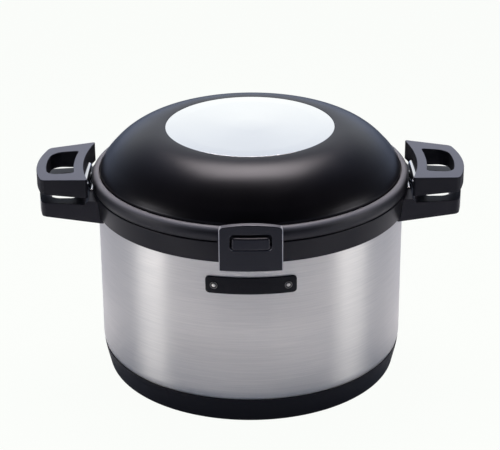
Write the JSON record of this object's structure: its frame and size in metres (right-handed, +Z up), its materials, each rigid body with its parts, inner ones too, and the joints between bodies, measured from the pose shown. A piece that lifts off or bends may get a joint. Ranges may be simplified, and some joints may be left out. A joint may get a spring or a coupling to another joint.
{
  "type": "thermal cooker",
  "caption": "Vacuum-insulated steel cooking vessel with a hinged insulated lid, a push-button latch, and a lidded inner pot with loop handles over the vessel's own handles.",
  "frame": {"origin": "on the vessel's axis, at the level of the surface that the base stands on", "axes": "+Z up along the vessel's axis; +X towards the right-hand handles seen from the front; -Y towards the latch and name plate, with the hinge at +Y"},
  "size_m": [0.377, 0.2928, 0.2234],
  "materials": {
    "brushed_shell": "satin",
    "plain_steel": "satin",
    "pot_steel": "polished",
    "mirror_disc": "polished",
    "bright_bracket": "polished",
    "fasteners": "satin",
    "spring_wire": "gloss",
    "rivets": "gloss",
    "base_plastic": "satin",
    "band_plastic": "satin",
    "lid_ring_plastic": "gloss",
    "lid_dome_plastic": "satin",
    "latch_plastic": "satin",
    "button_plastic": "satin",
    "plate_lacquer": "gloss",
    "pot_handle_phenolic": "satin",
    "vessel_handle_phenolic": "satin",
    "knob_phenolic": "satin",
    "foam": "matte"
  },
  "bodies": {
    "vessel": {"outer_shell": "brushed_shell", "inner_liner": "plain_steel", "vacuum_bottom_plate": "plain_steel", "base_cover": "base_plastic", "shoulder_ring": "band_plastic", "hinge_bracket": "band_plastic", "hinge_pin": "fasteners", "latch_cover": "latch_plastic", "name_plate": "plate_lacquer", "vessel_handle_left": "vessel_handle_phenolic", "vessel_handle_right": "vessel_handle_phenolic", "hinge_screw_left": "fasteners", "hinge_screw_right": "fasteners", "plate_rivet_left": "rivets", "plate_rivet_right": "rivets", "pot_body": "pot_steel", "pot_base": "plain_steel", "pot_lid": "pot_steel", "pot_lid_knob": "knob_phenolic", "pot_bracket_left": "bright_bracket", "pot_bracket_right": "bright_bracket", "pot_handle_left": "pot_handle_phenolic", "pot_handle_right": "pot_handle_phenolic", "pot_handle_screw_left_front": "fasteners", "pot_handle_screw_left_rear": "fasteners", "pot_handle_screw_right_front": "fasteners", "pot_handle_screw_right_rear": "fasteners", "pot_lid_knob_screw": "fasteners", "latch_spring_left": "spring_wire", "latch_spring_right": "spring_wire"},
    "lid": {"lid_rim": "lid_ring_plastic", "lid_dome": "lid_dome_plastic", "lid_disc": "mirror_disc", "lid_foam": "foam", "lid_inner_plate": "pot_steel", "lid_screw_1": "fasteners", "lid_screw_2": "fasteners", "lid_screw_3": "fasteners", "lid_screw_4": "fasteners"},
    "latch_button": {"latch_button": "button_plastic"}
  },
  "joints": [
    {"name": "lid_hinge", "type": "hinge", "parent": "vessel", "child": "lid", "pos_m": [0, 0.1415, 0.179], "axis": [-1, 0, 0], "range_deg": [0, 85]},
    {"name": "latch_push", "type": "slide", "parent": "vessel", "child": "latch_button", "axis": [0, 1, 0], "range_m": [0, 0.0025], "stiffness_N_per_m": 1200, "springref_m": -0.002, "deforming": ["latch_spring_left", "latch_spring_right"]}
  ]
}
